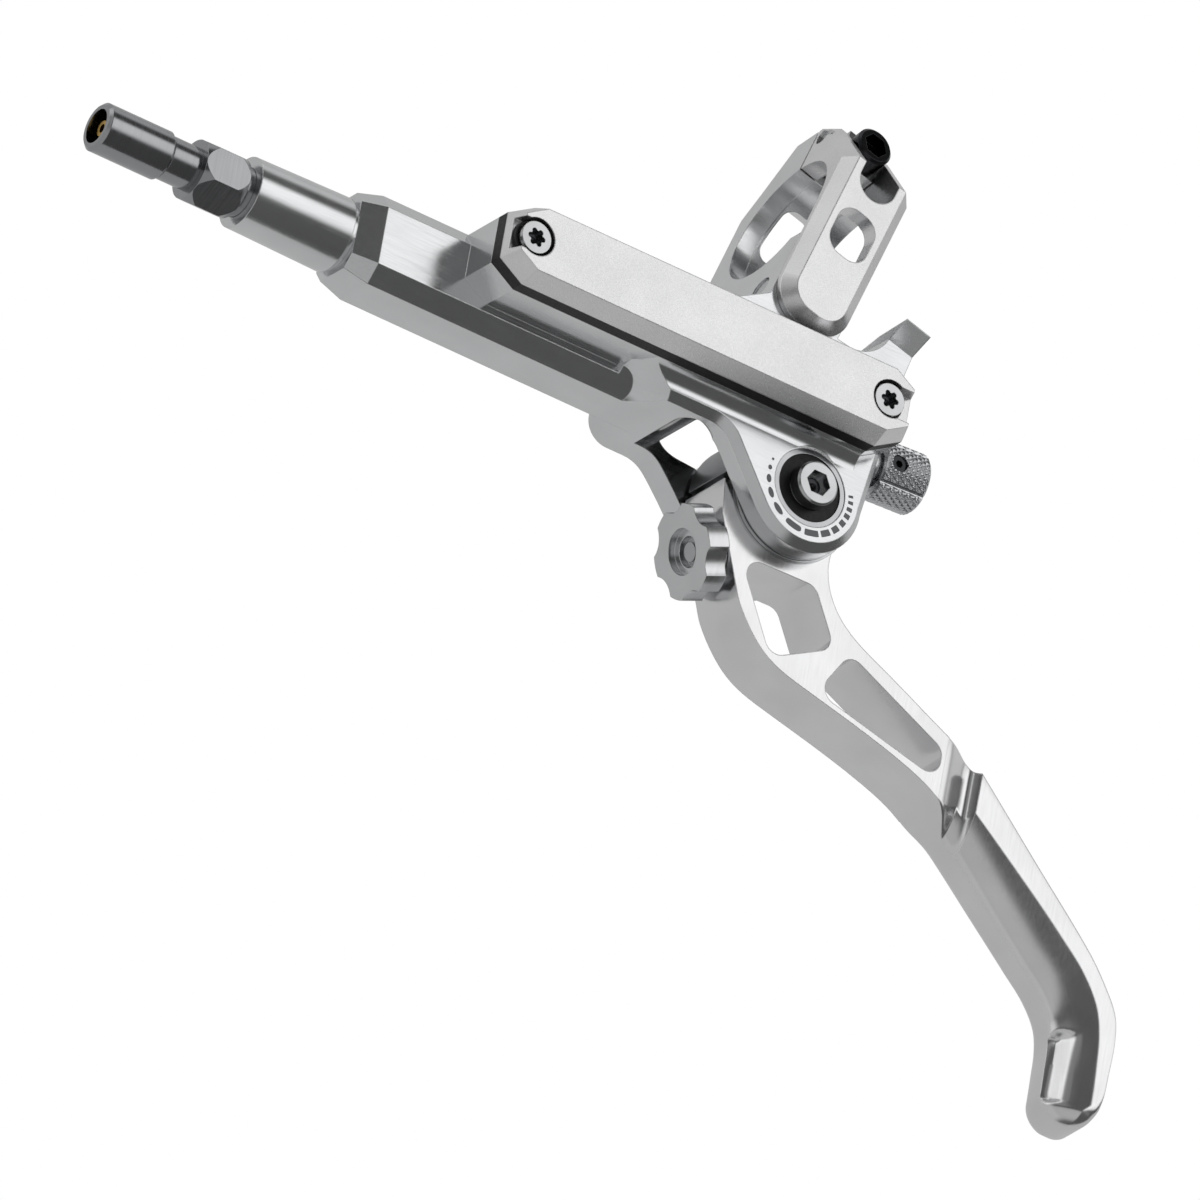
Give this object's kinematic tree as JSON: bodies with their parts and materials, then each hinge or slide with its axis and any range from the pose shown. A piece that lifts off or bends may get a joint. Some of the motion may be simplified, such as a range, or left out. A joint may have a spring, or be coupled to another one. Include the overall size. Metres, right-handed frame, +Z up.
{
  "type": "hydraulic brake lever and master cylinder",
  "caption": "Bicycle hydraulic brake lever: handlebar clamp, master cylinder with reservoir, pivoting two-window blade, reach wheel, stroke knob and hose fitting.",
  "frame": {"origin": "centre of the handlebar clamp's bore", "axes": "+X along the cylinder bore from the hose end to the adjuster knob, +Z up through the reservoir cover, +Y towards the handlebar"},
  "size_m": [0.1973, 0.1436, 0.0334],
  "materials": {
    "body_alloy": "polished, clear anodised",
    "cover_alloy": "satin, clear anodised",
    "strap_alloy": "satin, clear anodised",
    "carrier_alloy": "bead blasted",
    "blade_alloy": "satin, clear anodised",
    "adjuster_alloy": "turned and polished",
    "gasket_rubber": "moulded black",
    "screw_steel": "turned stainless steel",
    "dark_steel": "black oxide",
    "fitting_nickel": "dark nickel plated",
    "bearing_steel": "ground steel",
    "brass": "turned brass",
    "piston_plastic": "moulded acetal"
  },
  "bodies": {
    "body": {"master_body": "body_alloy", "reservoir_cover": "cover_alloy", "cover_gasket": "gasket_rubber", "cover_screws": "screw_steel", "clamp_strap": "strap_alloy", "clamp_hinge_pin": "screw_steel", "clamp_barrel_washer": "screw_steel", "clamp_bolt": "dark_steel", "hose_nut": "fitting_nickel", "hose_ferrule": "fitting_nickel", "hose_barb": "brass", "hose_olive": "brass", "upper_outer_race": "bearing_steel", "lower_outer_race": "bearing_steel", "upper_bearing_seal": "gasket_rubber", "lower_bearing_seal": "gasket_rubber", "spring_seat": "piston_plastic", "return_spring": "bearing_steel", "retaining_circlip": "bearing_steel", "stop_washer": "bearing_steel"},
    "carrier": {"carrier": "carrier_alloy", "pivot_bolt": "screw_steel", "pivot_sleeve": "screw_steel", "thrust_washers": "screw_steel", "upper_inner_race": "bearing_steel", "lower_inner_race": "bearing_steel"},
    "trunnion": {"trunnion": "bearing_steel"},
    "detent_collar": {"detent_collar": "adjuster_alloy"},
    "pushrod": {"pushrod": "bearing_steel", "knob": "adjuster_alloy", "knob_set_screw": "dark_steel"},
    "blade": {"lever_blade": "blade_alloy"},
    "reach_wheel": {"reach_wheel": "adjuster_alloy", "reach_screw": "bearing_steel"},
    "cross_dowel": {"cross_dowel": "brass"},
    "piston": {"piston": "piston_plastic", "primary_seal": "gasket_rubber", "secondary_seal": "gasket_rubber"}
  },
  "joints": [
    {"name": "lever_pull", "type": "hinge", "parent": "body", "child": "carrier", "pos_m": [0.0015, -0.045, 0], "axis": [0, 0, 1], "range_deg": [0, 22], "stiffness_Nm_per_rad": 0.6, "springref_deg": -8.59},
    {"name": "trunnion_swing", "type": "hinge", "parent": "carrier", "child": "trunnion", "pos_m": [0.004, -0.03168, 0], "axis": [0, 0, 1], "range_deg": [-22, 0]},
    {"name": "pushrod_slide", "type": "slide", "parent": "trunnion", "child": "detent_collar", "axis": [0.9986, 0.052, 0], "range_m": [0, 0.0016]},
    {"name": "knob_turn", "type": "hinge", "parent": "detent_collar", "child": "pushrod", "pos_m": [0.004, -0.03168, 0], "axis": [0.9986, 0.052, 0], "range_deg": [0, 720]},
    {"name": "blade_reach", "type": "hinge", "parent": "carrier", "child": "blade", "pos_m": [0.0015, -0.045, 0], "axis": [0, 0, 1], "range_deg": [-6, 6]},
    {"name": "reach_wheel_turn", "type": "hinge", "parent": "blade", "child": "reach_wheel", "pos_m": [0.00416, -0.05126, 0], "axis": [0.9205, 0.3907, 0], "range_deg": [-342, 342]},
    {"name": "dowel_swing", "type": "hinge", "parent": "carrier", "child": "cross_dowel", "pos_m": [0.00416, -0.05126, 0], "axis": [0, 0, 1], "range_deg": [-6, 6]},
    {"name": "piston_slide", "type": "slide", "parent": "body", "child": "piston", "axis": [1, 0, 0], "range_m": [-0.00517, 0], "deforming": ["return_spring"]}
  ],
  "couplings": [
    {"joint": "trunnion_swing", "follows": "piston_slide", "rad_per_m": 74.27},
    {"joint": "lever_pull", "follows": "piston_slide", "rad_per_m": -74.27},
    {"joint": "knob_turn", "follows": "pushrod_slide", "rad_per_m": 7854},
    {"joint": "reach_wheel_turn", "follows": "blade_reach", "ratio": 56.968},
    {"joint": "dowel_swing", "follows": "blade_reach", "ratio": 1}
  ]
}
